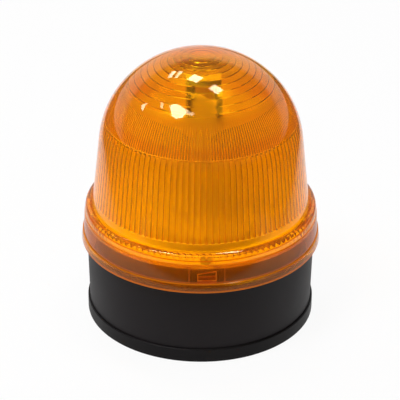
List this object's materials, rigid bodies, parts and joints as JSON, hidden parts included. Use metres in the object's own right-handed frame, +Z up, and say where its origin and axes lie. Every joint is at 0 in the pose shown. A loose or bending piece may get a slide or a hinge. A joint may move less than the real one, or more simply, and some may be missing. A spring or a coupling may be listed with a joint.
{
  "type": "rotating beacon",
  "caption": "Round warning light with a fluted amber bayonet lens over a lamp and a motor-driven turning mirror, on a black screw-down base.",
  "frame": {"origin": "centre of the underside, in the plane of the base seal's bottom face", "axes": "+Z up along the lamp's axis, -Y the front, where one bayonet lug shows through the skirt; the mirror's open side faces +X at rest"},
  "size_m": [0.1306, 0.1306, 0.1522],
  "materials": {
    "black_housing": "fine moulded grain",
    "black_rubber": "smooth moulded rubber",
    "seal_rubber": "soft pale seal",
    "white_deck": "satin white moulding",
    "lens_amber": "clear amber, polished outside",
    "gear_acetal": "natural acetal",
    "frame_black": "satin moulded",
    "tower_plastic": "satin moulded",
    "mirror_metal": "bright reflector",
    "screw_steel": "zinc plated",
    "shaft_steel": "ground",
    "bronze": "sintered bronze",
    "contact_brass": "stamped brass",
    "ceramic": "unglazed ceramic",
    "bulb_glass": "clear quartz",
    "tungsten": "drawn wire",
    "motor_steel": "drawn can",
    "magnet": "sintered ferrite",
    "board_green": "coated board",
    "block_green": "moulded",
    "capacitor_sleeve": "shrunk sleeve",
    "wire_red": "insulated wire",
    "wire_blue": "insulated wire"
  },
  "bodies": {
    "base": {"base_housing": "black_housing", "base_seal": "black_rubber", "cable_grommet": "black_rubber", "deck_plate": "white_deck", "deck_screws": "screw_steel", "lens_seal": "seal_rubber", "lamp_tower": "tower_plastic", "tower_screws": "screw_steel", "thrust_washer": "contact_brass", "tower_clip": "shaft_steel", "bulb_holder": "ceramic", "bulb_base": "contact_brass", "bulb_glass": "bulb_glass", "bulb_filament": "tungsten", "motor_can": "motor_steel", "motor_cap": "tower_plastic", "motor_screws": "screw_steel", "motor_magnets": "magnet", "motor_tabs": "contact_brass", "circuit_board": "board_green", "board_screws": "screw_steel", "terminal_block": "block_green", "terminal_screws": "screw_steel", "capacitor": "capacitor_sleeve", "choke": "magnet", "lamp_leads": "wire_red", "motor_leads": "wire_blue"},
    "turntable": {"ring_gear": "gear_acetal", "gear_bush": "bronze", "mirror_frame": "frame_black", "mirror_sheet": "mirror_metal", "frame_screws": "screw_steel"},
    "motor_rotor": {"motor_shaft": "shaft_steel", "rotor_core": "magnet", "drive_pinion": "bronze"},
    "lens": {"lens_dome": "lens_amber"}
  },
  "joints": [
    {"name": "mirror_spin", "type": "hinge", "parent": "base", "child": "turntable", "pos_m": [0, 0, 0.064], "axis": [0, 0, 1], "continuous": true},
    {"name": "motor_spin", "type": "hinge", "parent": "base", "child": "motor_rotor", "pos_m": [0, 0.04, 0.04], "axis": [0, 0, 1], "continuous": true},
    {"name": "lens_twist", "type": "hinge", "parent": "base", "child": "lens", "pos_m": [0, 0, 0.057], "axis": [0, 0, 1], "range_deg": [0, 20]}
  ],
  "couplings": [
    {"joint": "motor_spin", "follows": "mirror_spin", "ratio": -9}
  ]
}
